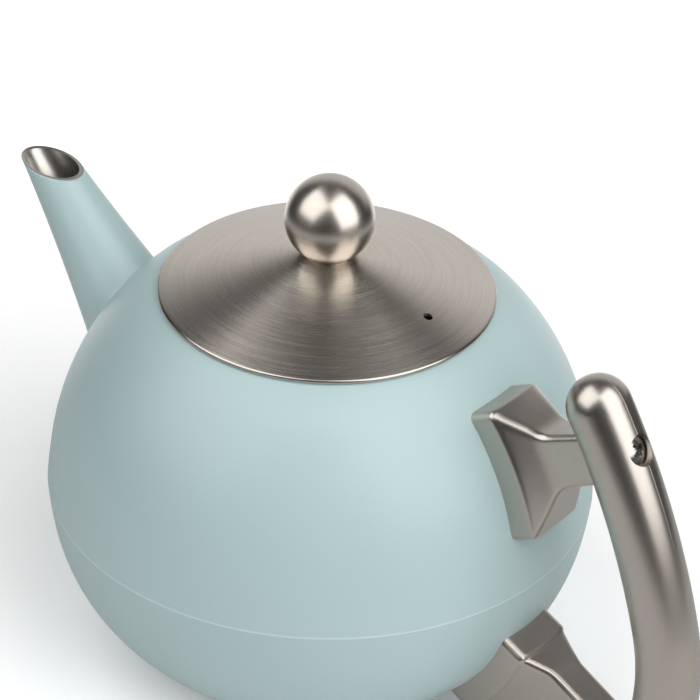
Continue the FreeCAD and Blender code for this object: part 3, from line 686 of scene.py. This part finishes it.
TURN_C = polar(BOW_C, BOW_R - TURN_R, BOW_JOIN)
LOW_POINT = polar(TURN_C, TURN_R, TURN_END)
TAIL_DIR = np.array([math.sin(math.radians(TURN_END)), 0.0, -math.cos(math.radians(TURN_END))])
path = []          # centre, outward normal, tangent along the path, crest line height
for a in np.linspace(BOW_TOP, BOW_JOIN, 150):
    out = np.array([math.cos(math.radians(a)), 0.0, math.sin(math.radians(a))])
    path.append((polar(BOW_C, BOW_R, a), out, 1.0 if a > 19.0 else max(0.0, (a - 17.0) / 2.0)))
for a in np.linspace(BOW_JOIN, TURN_END, 90)[1:]:
    out = np.array([math.cos(math.radians(a)), 0.0, math.sin(math.radians(a))])
    path.append((polar(TURN_C, TURN_R, a), out, 0.0))
low_out = path[-1][1]
path.append((LOW_POINT + TAIL_DIR * 0.4, low_out, 0.0))

base = np.linspace(0, 2 * math.pi, 112, endpoint=False)
extra = [0.010, 0.022, -0.010, -0.022]
ring_t = np.array(sorted(set(np.round([t for t in base], 6)) | set(np.round([(e % (2 * math.pi)) for e in extra], 6))
                         | set(np.round([math.pi + e for e in extra], 6))))


def crest(theta, amount):
    d = min(abs(theta), abs(theta - 2 * math.pi), abs(theta - math.pi)) * BAR
    return 0.055 * amount if d < 0.02 else 0.0


rows = []
top_c, top_out = path[0][0], path[0][1]
top_tan = np.array([-top_out[2], 0.0, top_out[0]])   # up along the bow
for psi in np.linspace(88.0, 0.0, 30)[:-1]:
    p = math.radians(psi)
    rows.append([top_c + top_tan * BAR * math.sin(p) + (BAR * math.cos(p) + crest(t, 1.0) * math.cos(p)) * (
        top_out * math.cos(t) + YAX * math.sin(t)) for t in ring_t])
for c, out, amount in path:
    rows.append([c + (BAR + crest(t, amount)) * (out * math.cos(t) + YAX * math.sin(t)) for t in ring_t])
end_c, end_out = path[-1][0], path[-1][1]
for psi in np.linspace(0.0, 88.0, 30)[1:]:
    p = math.radians(psi)
    rows.append([end_c + TAIL_DIR * BAR * math.sin(p) + BAR * math.cos(p) * (
        end_out * math.cos(t) + YAX * math.sin(t)) for t in ring_t])
n_ring = len(ring_t)
verts = [p for ring in rows for p in ring]
faces = grid_faces(len(rows), n_ring)
verts.append(top_c + top_tan * BAR)
verts.append(end_c + TAIL_DIR * BAR)
for j in range(n_ring):
    k = (j + 1) % n_ring
    faces.append((len(verts) - 2, k, j))
    off = (len(rows) - 1) * n_ring
    faces.append((len(verts) - 1, off + j, off + k))
handle = make_mesh("handle_bar", verts, faces, NICKEL)

UP_TILT, LOW_TILT = math.radians(28.0), math.radians(-25.5)
UP_AXIS = np.array([math.cos(UP_TILT), 0.0, math.sin(UP_TILT)])
LOW_AXIS = np.array([math.cos(LOW_TILT), 0.0, math.sin(LOW_TILT)])
UP_BAR = CENTRE + UP_AXIS * 104.0
head_seat = 8.26 - 4.0


def sink_tool(name, point, axis):
    wide = tube_tool(name, point, axis, 4.12, head_seat, head_seat + 8.0, 64)
    return wide


cut_away(handle, sink_tool("upper_sink", UP_BAR, UP_AXIS))
cut_away(handle, sink_tool("lower_sink", LOW_POINT, LOW_AXIS))
for name, point, axis in (("upper_pass", UP_BAR, UP_AXIS), ("lower_pass", LOW_POINT, LOW_AXIS)):
    cut_away(handle, tube_tool(name, point, axis, 2.3, -14.0, head_seat + 1.0, 40))

centres = np.array([c for c, _, _ in path])


def bar_rule(co, face_n):
    out = np.zeros_like(co)
    step = 4000
    seg = centres[1:] - centres[:-1]
    l2 = (seg ** 2).sum(1)
    for a in range(0, len(co), step):
        q = co[a:a + step]
        rel = q[:, None, :] - centres[None, :-1]
        t = np.clip((rel * seg[None]).sum(2) / l2[None], 0, 1)
        near = centres[None, :-1] + t[..., None] * seg[None]
        dist = ((q[:, None, :] - near) ** 2).sum(2)
        best = dist.argmin(1)
        out[a:a + step] = q - near[np.arange(len(q)), best]
    length = np.linalg.norm(out, axis=1)
    bad = np.abs(length - BAR) > 0.02
    # corners inside the bores keep their faces' normals
    out[bad] = face_n[bad]
    return out


set_normals(handle, bar_rule)

# ------------------------------------------------------------------ brackets


def rounded_outline(w, up, down, rho, corner=8, side=12):
    """Points of a rounded rectangle, (across, along) with the long way along the bar."""
    pts = []
    centres_c = [(w - rho, up - rho, 0), (-(w - rho), up - rho, 90),
                 (-(w - rho), -(down - rho), 180), (w - rho, -(down - rho), 270)]
    for i, (cx, cy, a0) in enumerate(centres_c):
        for k in range(corner + 1):
            a = math.radians(a0 + 90.0 * k / corner)
            pts.append((cx + rho * math.cos(a), cy + rho * math.sin(a)))
        nx, ny, na = centres_c[(i + 1) % 4]
        e0 = pts[-1]
        a = math.radians(na)
        e1 = (nx + rho * math.cos(a), ny + rho * math.sin(a))
        for k in range(1, side):
            f = k / side
            pts.append((e0[0] + (e1[0] - e0[0]) * f, e0[1] + (e1[1] - e0[1]) * f))
    return pts


def bracket(name, base_point, tilt, reach, seat_r, pad):
    e1 = np.array([math.cos(tilt), 0.0, math.sin(tilt)])
    e3 = np.array([-math.sin(tilt), 0.0, math.cos(tilt)])
    neck = np.array([5.5, 7.4, 7.2])
    rings = []       # (sizes, corner radius, sphere radius, share of flat, flat axial place)
    for r in np.linspace(seat_r, 77.9, 9):
        rings.append((pad, 2.1, r, 0.0, 0.0))
    for t in np.linspace(0, 50, 7)[1:]:
        a = math.radians(t)
        rings.append((pad - 1.5 * (1 - math.cos(a)), 2.1, 77.9 + 1.5 * math.sin(a), 0.0, 0.0))
    s0 = rings[-1][0]
    r0 = rings[-1][2]
    target = np.array([5.75, 7.9, 7.7])
    place = 85.6
    for f in np.linspace(0, 0.76, 10)[1:]:
        rings.append((s0 + (target - s0) * f, 2.1 - 0.3 * f, r0, f ** 1.12, place))
    f0 = 0.76
    a_size, a_share = s0 + (target - s0) * f0, f0 ** 1.12
    for k in range(1, 9):
        g = k / 8.0
        size = a_size * (1 - g) ** 2 + target * 2 * g * (1 - g) + (neck + 0.03) * g * g
        rings.append((size, 1.8, r0, min(1.0, a_share + (1.0 - a_share) * (1 - (1 - g) ** 2)),
                      place + 2.2 * g * g))
    for f in np.linspace(0, 1, 6)[1:]:
        size = neck + (np.array([5.25, 6.9, 6.85]) - neck) * f
        rings.append((size, 1.8, r0, 1.0, place + 2.2 + (reach - place - 2.2) * f))
    verts, count = [], None
    for size, rho, r, share, flat_at in rings:
        pts = rounded_outline(size[0], size[1], size[2], rho)
        count = len(pts)
        for a, b in pts:
            curved = math.sqrt(max(r * r - a * a - b * b, 0.0))
            axial = curved * (1 - share) + flat_at * share
            verts.append(base_point + e1 * axial + YAX * a + e3 * b)
    faces = [f[::-1] for f in grid_faces(len(rings), count)]
    faces.append(tuple(range(count)))
    faces.append(tuple(range((len(rings) - 1) * count, len(rings) * count))[::-1])
    return make_mesh(name, verts, faces, NICKEL)


upper_bracket = bracket("upper_bracket_block", CENTRE, UP_TILT, 97.6, 71.2, np.array([9.7, 16.4, 18.8]))
bowl_centre = np.array([BOWL_X, 0.0, SEAM])
aside = (LOW_POINT - bowl_centre) - LOW_AXIS * float((LOW_POINT - bowl_centre) @ LOW_AXIS)
skin_point = bowl_centre + aside + LOW_AXIS * math.sqrt(55.0 ** 2 - float(aside @ aside))
lower_base = skin_point - LOW_AXIS * DOME
lower_reach = float((LOW_POINT - lower_base) @ LOW_AXIS) - 6.4
lower_bracket = bracket("lower_bracket_block", lower_base, LOW_TILT, lower_reach, 70.4, np.array([9.7, 8.0, 22.0]))
for b in (upper_bracket, lower_bracket):
    bm = bmesh.new()
    bm.from_mesh(b.data)
    bmesh.ops.recalc_face_normals(bm, faces=bm.faces)
    bm.to_mesh(b.data)
    bm.free()
    b.data.set_sharp_from_angle(angle=math.radians(60))

# ------------------------------------------------------------ infuser basket


def holed_sheet(name, cells, place, thickness_dir, thickness, material, hole=0.30, sides=8):
    """Cells of a sheet, each with a round hole through it.

    cells          list of (u0, u1, v0, v1) in mm on the sheet, hole True or False
    place          (u, v, depth) -> point
    """
    verts, faces = [], []
    for u0, u1, v0, v1, holed in cells:
        corners = [(u0, v0), (u1, v0), (u1, v1), (u0, v1)]
        base_i = len(verts)
        if not holed:
            for depth in (0.0, thickness):
                for u, v in corners:
                    verts.append(place(u, v, depth))
            faces.append((base_i, base_i + 1, base_i + 2, base_i + 3))
            faces.append((base_i + 7, base_i + 6, base_i + 5, base_i + 4))
            continue
        cu, cv = (u0 + u1) / 2, (v0 + v1) / 2
        rad = hole
        edge, rim = [], []
        for k in range(sides):
            a = 2 * math.pi * (k + 0.5) / sides
            rim.append((cu + rad * math.cos(a), cv + rad * math.sin(a)))
            ax = math.cos(a) / max(abs(math.cos(a)), abs(math.sin(a)))
            ay = math.sin(a) / max(abs(math.cos(a)), abs(math.sin(a)))
            edge.append((cu + (u1 - u0) / 2 * (1 if ax > 0.99 else -1 if ax < -0.99 else ax),
                         cv + (v1 - v0) / 2 * (1 if ay > 0.99 else -1 if ay < -0.99 else ay)))
        for depth in (0.0, thickness):
            for u, v in corners + edge + rim:
                verts.append(place(u, v, depth))
        n = 4 + 2 * sides
        for layer in (0, 1):
            o = base_i + layer * n
            for k in range(sides):
                j = (k + 1) % sides
                ek, ej, rk, rj = o + 4 + k, o + 4 + j, o + 4 + sides + k, o + 4 + sides + j
                f = [ek, ej, rj, rk]
                # a corner of the cell lies between these two edge points
                a, b = edge[k], edge[j]
                if abs(a[0] - b[0]) > 1e-6 and abs(a[1] - b[1]) > 1e-6:
                    for ci, c in enumerate(corners):
                        if (abs(c[0] - a[0]) < 1e-6 or abs(c[1] - a[1]) < 1e-6) and \
                                (abs(c[0] - b[0]) < 1e-6 or abs(c[1] - b[1]) < 1e-6) and \
                                abs(c[0] - cu) + abs(c[1] - cv) > (u1 - u0 + v1 - v0) / 2 - 1e-6:
                            f = [ek, o + ci, ej, rj, rk]
                            break
                faces.append(tuple(f) if layer == 0 else tuple(f[::-1]))
        for k in range(sides):
            j = (k + 1) % sides
            a0, b0 = base_i + 4 + sides + k, base_i + 4 + sides + j
            faces.append((a0, b0, b0 + n, a0 + n))
    return make_mesh(name, verts, faces, material, smooth=False)


BASKET = 36.2
pitch = 2.05
around = int(2 * math.pi * BASKET / pitch)
rows_z = np.linspace(41.0, 95.0, 27)
cells = []
for i in range(around):
    a0 = 2 * math.pi * i / around
    a1 = 2 * math.pi * (i + 1) / around
    cells.append((a0, a1, 36.82, rows_z[0], False))
    for z0, z1 in zip(rows_z[:-1], rows_z[1:]):
        cells.append((a0, a1, z0, z1, True))
    cells.append((a0, a1, rows_z[-1], 100.28, False))


def wall_place(u, v, depth):
    r = BASKET - 0.02 - depth
    return (r * math.cos(u), r * math.sin(u), v)


def wall_sheet():
    verts, faces = [], []
    sides = 8
    rad = 0.52
    for u0, u1, v0, v1, holed in cells:
        b = len(verts)
        corners = [(u0, v0), (u1, v0), (u1, v1), (u0, v1)]
        if not holed:
            for depth in (0.0, 0.56):
                verts.extend(wall_place(u, v, depth) for u, v in corners)
            faces.append((b, b + 1, b + 2, b + 3))
            faces.append((b + 7, b + 6, b + 5, b + 4))
            continue
        cu, cv = (u0 + u1) / 2, (v0 + v1) / 2
        rim = []
        for k in range(sides):
            a = math.radians(-135.0 + 45.0 * k)
            rim.append((cu + rad / BASKET * math.cos(a), cv + rad * math.sin(a)))
        for depth in (0.0, 0.56):
            verts.extend(wall_place(u, v, depth) for u, v in corners + rim)
        n = 4 + sides
        for layer in (0, 1):
            o = b + layer * n
            for c in range(4):
                k0 = 2 * c
                f1 = (o + c, o + (c + 1) % 4, o + 4 + (k0 + 2) % sides, o + 4 + k0 + 1, o + 4 + k0)
                faces.append(f1 if layer == 0 else f1[::-1])
        for k in range(sides):
            j = (k + 1) % sides
            faces.append((b + 4 + k, b + 4 + k + n, b + 4 + j + n, b + 4 + j))
    return make_mesh("basket_wall", verts, faces, VESSEL_STEEL, smooth=False)


basket_wall = wall_sheet()


def bottom_sheet():
    verts, faces = [], []
    z0, z1 = 36.02, 36.78
    sides = 8
    rad = 0.52
    rings_r = [0.0, 1.6] + list(np.arange(1.6, 33.0, 2.05)[1:]) + [36.18]
    segs_prev = None
    for i in range(len(rings_r) - 1):
        ra, rb = rings_r[i], rings_r[i + 1]
        holed = 0 < i < len(rings_r) - 2
        n = max(8, int(2 * math.pi * ((ra + rb) / 2) / 2.05)) if holed else (24 if i == 0 else 96)
        for k in range(n):
            a0, a1 = 2 * math.pi * k / n, 2 * math.pi * (k + 1) / n
            b = len(verts)

            def put(r, a, z):
                verts.append((r * math.cos(a), r * math.sin(a), z))
            corners = [(ra, a0), (ra, a1), (rb, a1), (rb, a0)]
            if not holed:
                if ra == 0.0:
                    for z in (z0, z1):
                        put(0, 0, z)
                        put(rb, a0, z)
                        put(rb, a1, z)
                    faces.append((b, b + 2, b + 1))
                    faces.append((b + 3, b + 4, b + 5))
                else:
                    for z in (z0, z1):
                        for r, a in corners:
                            put(r, a, z)
                    faces.append((b, b + 1, b + 2, b + 3))
                    faces.append((b + 7, b + 6, b + 5, b + 4))
                continue
            rc, ac = (ra + rb) / 2, (a0 + a1) / 2
            cx, cy = rc * math.cos(ac), rc * math.sin(ac)
            for z in (z0, z1):
                for r, a in corners:
                    put(r, a, z)
                for s in range(sides):
                    # start towards the first corner (inner radius, low angle)
                    t = ac + math.radians(180.0 + 45.0 - 45.0 * s)
                    verts.append((cx + rad * math.cos(t), cy + rad * math.sin(t), z))
            m = 4 + sides
            for layer in (0, 1):
                o = b + layer * m
                for c in range(4):
                    k0 = 2 * c
                    f1 = (o + c, o + (c + 1) % 4, o + 4 + (k0 + 2) % sides, o + 4 + k0 + 1, o + 4 + k0)
                    faces.append(f1 if layer == 0 else f1[::-1])
            for s in range(sides):
                j = (s + 1) % sides
                faces.append((b + 4 + s, b + 4 + s + m, b + 4 + j + m, b + 4 + j))
    return make_mesh("basket_bottom", verts, faces, VESSEL_STEEL, smooth=False)


basket_bottom = bottom_sheet()

# --------------------------------------------- riding, replacing and finishes
for piece, body, nodes, slot_name in (
        (skin_upper, "pot", ["outer_shell_upper"], "paint"),
        (skin_lower, "pot", ["outer_shell_lower"], "paint"),
        (spout_skin, "pot", ["spout"], "paint"),
        (spout_bore, "pot", [], "steel"),
        (upper_bracket, "pot", ["upper_bracket"], "satin_nickel"),
        (lower_bracket, "pot", ["lower_bracket"], "satin_nickel"),
        (handle, "pot", ["handle"], "satin_nickel"),
        (basket_wall, "infuser", ["infuser_wall"], "steel"),
        (basket_bottom, "infuser", ["infuser_bottom"], "steel"),
        (lid, "lid", ["lid_cover"], "lid_steel"),
        (knob, "lid", ["knob"], "knob_steel")):
    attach(piece, body)
    if nodes:
        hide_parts(*nodes)

for name, material in (
        ("base_plate", VESSEL_STEEL), ("inner_shell_upper", VESSEL_STEEL),
        ("inner_shell_lower", VESSEL_STEEL), ("mouth_ring", VESSEL_STEEL),
        ("handle_bosses", SCREW_STEEL), ("handle_screws", SCREW_STEEL),
        ("infuser_rim", VESSEL_STEEL), ("lid_seal", SILICONE), ("lid_skirt", VESSEL_STEEL),
        ("knob_screw", SCREW_STEEL), ("knob_washer", SCREW_STEEL)):
    obj = NODES[name]
    if not obj.material_slots:
        obj.data.materials.append(material)
    for s in obj.material_slots:
        s.material = material

# --------------------------------------------------------------------- stage
mat, tree, bsdf = new_material("pale_floor")
v = coords(tree)
grain = noise(tree, v, 6.0, 2.0, 0.5)
pale = mix_color(tree, grain, (0.90, 0.90, 0.905), (0.92, 0.92, 0.92))
sep = tree.nodes.new("ShaderNodeSeparateXYZ")
tree.links.new(v, sep.inputs[0])
ahead = math_node(tree, "ADD", math_node(tree, "MULTIPLY", sep.outputs[0], 0.618),
                  math_node(tree, "MULTIPLY", sep.outputs[1], -0.786))
radius = tree.nodes.new("ShaderNodeVectorMath")
radius.operation = "LENGTH"
tree.links.new(v, radius.inputs[0])


def ramp(value, start, stop):
    m = tree.nodes.new("ShaderNodeMapRange")
    m.interpolation_type = "SMOOTHSTEP"
    m.inputs["From Min"].default_value = start
    m.inputs["From Max"].default_value = stop
    tree.links.new(value, m.inputs["Value"])
    return m.outputs[0]


# the floor is painted dark from half a metre out for every ray but the camera's, except behind the object, and half
# dark ahead of the object for glossy rays: painted dark reflections of the room. Behind the object it glows for
# glossy rays only: a painted bright reflection of a sweep. The camera sees it pale.
ray = tree.nodes.new("ShaderNodeLightPath")
behind = math_node(tree, "DIVIDE", math_node(tree, "MULTIPLY", ahead, -1.0),
                   math_node(tree, "MAXIMUM", radius.outputs["Value"], 0.001))
unseen = math_node(tree, "SUBTRACT", 1.0, ray.outputs["Is Camera Ray"])
outer = math_node(tree, "MULTIPLY", ramp(radius.outputs["Value"], 0.22, 0.50),
                  math_node(tree, "SUBTRACT", 1.0, ramp(behind, 0.60, 0.90)))
ahead_only = math_node(tree, "SUBTRACT", 1.0, ramp(behind, 0.60, 0.90))
# glossy rays ahead of the object see the floor half dark: painted dark reflection
painted_dark_glossy_ahead = math_node(tree, "MULTIPLY", math_node(tree, "MULTIPLY", ahead_only, ray.outputs["Is Glossy Ray"]), 0.5)
painted_dark_reflection_mask = math_node(tree, "MAXIMUM", math_node(tree, "MULTIPLY", outer, unseen), painted_dark_glossy_ahead)
far = math_node(tree, "MULTIPLY", ramp(radius.outputs["Value"], 0.13, 0.45), ray.outputs["Is Camera Ray"])
farther = math_node(tree, "MULTIPLY", ramp(radius.outputs["Value"], 0.50, 2.00), ray.outputs["Is Camera Ray"])
bsdf.inputs["Emission Color"].default_value = (1.0, 1.0, 1.0, 1.0)
# glossy rays see the floor behind the object glow: painted bright reflection
painted_sweep_glow = math_node(tree, "MULTIPLY", math_node(tree, "MULTIPLY", ramp(behind, 0.60, 0.90),
                                               ramp(radius.outputs["Value"], 0.12, 0.30)),
                  ray.outputs["Is Glossy Ray"])
glow = math_node(tree, "MULTIPLY", math_node(tree, "MAXIMUM", far, painted_sweep_glow), 0.5)
glow = math_node(tree, "ADD", glow, math_node(tree, "MULTIPLY", farther, 0.35))
tree.links.new(math_node(tree, "ADD", glow, math_node(tree, "MULTIPLY", ray.outputs["Is Camera Ray"], 0.11)),
               bsdf.inputs["Emission Strength"])
# the floor colour turns dark where the painted dark reflection mask is set
tree.links.new(mix_color(tree, painted_dark_reflection_mask, pale, (0.03, 0.03, 0.03)), bsdf.inputs["Base Color"])
bsdf.inputs["Roughness"].default_value = 0.85
bsdf.inputs["Specular IOR Level"].default_value = 0.1
floor = make_mesh("floor", [(-12000, -12000, 0), (12000, -12000, 0), (12000, 12000, 0), (-12000, 12000, 0)],
                  [(0, 1, 2, 3)], mat, smooth=False)

RIGHT = Vector((0.786, 0.618, 0.0))
NEAR = Vector((0.618, -0.786, 0.0))
UP = Vector((0.0, 0.0, 1.0))


def from_angles(azimuth, elevation):
    """A direction from its azimuth off the camera's side (right is positive) and its elevation."""
    a, e = math.radians(azimuth), math.radians(elevation)
    return (NEAR * math.cos(a) + RIGHT * math.sin(a)) * math.cos(e) + UP * math.sin(e)


world = bpy.data.worlds.new("studio")
scene.world = world
world.use_nodes = True
tree = world.node_tree
tree.nodes.clear()
out = tree.nodes.new("ShaderNodeOutputWorld")
back = tree.nodes.new("ShaderNodeBackground")
tree.links.new(back.outputs[0], out.inputs["Surface"])
tc = tree.nodes.new("ShaderNodeTexCoord")
sep = tree.nodes.new("ShaderNodeSeparateXYZ")
tree.links.new(tc.outputs["Generated"], sep.inputs[0])


def toward(direction):
    dot = tree.nodes.new("ShaderNodeVectorMath")
    dot.operation = "DOT_PRODUCT"
    tree.links.new(tc.outputs["Generated"], dot.inputs[0])
    dot.inputs[1].default_value = tuple(direction)
    return dot.outputs["Value"]


def smooth(value, start, stop, low=0.0, high=1.0):
    m = tree.nodes.new("ShaderNodeMapRange")
    m.interpolation_type = "SMOOTHSTEP"
    m.inputs["From Min"].default_value = start
    m.inputs["From Max"].default_value = stop
    m.inputs["To Min"].default_value = low
    m.inputs["To Max"].default_value = high
    tree.links.new(value, m.inputs["Value"])
    return m.outputs[0]


# pale backdrop behind the object, dark studio round the rest
backdrop = math_node(tree, "MULTIPLY", smooth(toward(from_angles(168, 0)), 0.50, 0.92),
                     smooth(sep.outputs[2], 0.66, 0.80, 1.0, 0.0))
level = math_node(tree, "ADD", math_node(tree, "MULTIPLY", backdrop, WORLD_BACK), WORLD_BASE)
ceiling = math_node(tree, "MULTIPLY", smooth(sep.outputs[2], 0.55, 0.95), WORLD_TOP)
level = math_node(tree, "ADD", level, ceiling)
# the camera sees a plain pale surround in every direction
path = tree.nodes.new("ShaderNodeLightPath")
seen = tree.nodes.new("ShaderNodeMix")
seen.data_type = "FLOAT"
tree.links.new(path.outputs["Is Camera Ray"], seen.inputs[0])
tree.links.new(level, seen.inputs[2])
seen.inputs[3].default_value = 0.95
tree.links.new(seen.outputs[0], back.inputs["Strength"])
back.inputs["Color"].default_value = (1.0, 1.0, 1.0, 1.0)


def softbox(name, azimuth, elevation, distance, left, right, bottom, top, radiance, aim=(0.0, 0.0, 0.10)):
    """A panel square to a direction; its edges are tangents of angles seen from the aim point."""
    d = from_angles(azimuth, elevation).normalized()
    data = bpy.data.lights.new(name, "AREA")
    data.shape = "RECTANGLE"
    width, height = (right - left) * distance, (top - bottom) * distance
    data.size = width
    data.size_y = height
    data.energy = radiance * 4.0 * width * height
    obj = collection_link(bpy.data.objects.new(name, data))
    a = math.radians(azimuth)
    x = NEAR * -math.sin(a) + RIGHT * math.cos(a)      # to the right, seen from the object facing the panel
    y = d.cross(x)
    if y.z < 0:
        y = -y
    centre = Vector(aim) + d * distance + x * ((left + right) / 2 * distance) + y * ((bottom + top) / 2 * distance)
    z = d
    xx = y.cross(z)
    obj.matrix_world = Matrix(((xx.x, y.x, z.x, centre.x), (xx.y, y.y, z.y, centre.y),
                               (xx.z, y.z, z.z, centre.z), (0, 0, 0, 1)))
    obj.visible_camera = False
    return obj


softbox("softbox_left", -68, 60, 1.15, -0.60, 0.60, -0.95, 0.30, LEFT_L)
softbox("softbox_right", 53, 40, 1.15, -0.52, 0.54, -0.78, 0.75, RIGHT_L)
fill = softbox("fill_front", 28, 42, 1.30, -0.40, 0.40, -0.40, 0.40, 1.55)
fill.visible_glossy = False

# -------------------------------------------------------------------- camera
cam_data = bpy.data.cameras.new("camera")
cam_data.sensor_width = 36.0
cam_data.lens = 167.836
cam_data.clip_start = 0.05
cam_data.clip_end = 60.0
camera = collection_link(bpy.data.objects.new("camera", cam_data))
camera.matrix_world = Matrix((
    (0.7773445, -0.3661067, 0.5115676, 0.439104),
    (0.6281500, 0.4076445, -0.6627621, -0.558252),
    (0.0341040, 0.8365356, 0.5468501, 0.555937),
    (0, 0, 0, 1)))
scene.camera = camera
scene.view_settings.view_transform = "Standard"
scene.view_settings.look = "None"

bpy.context.view_layer.update()
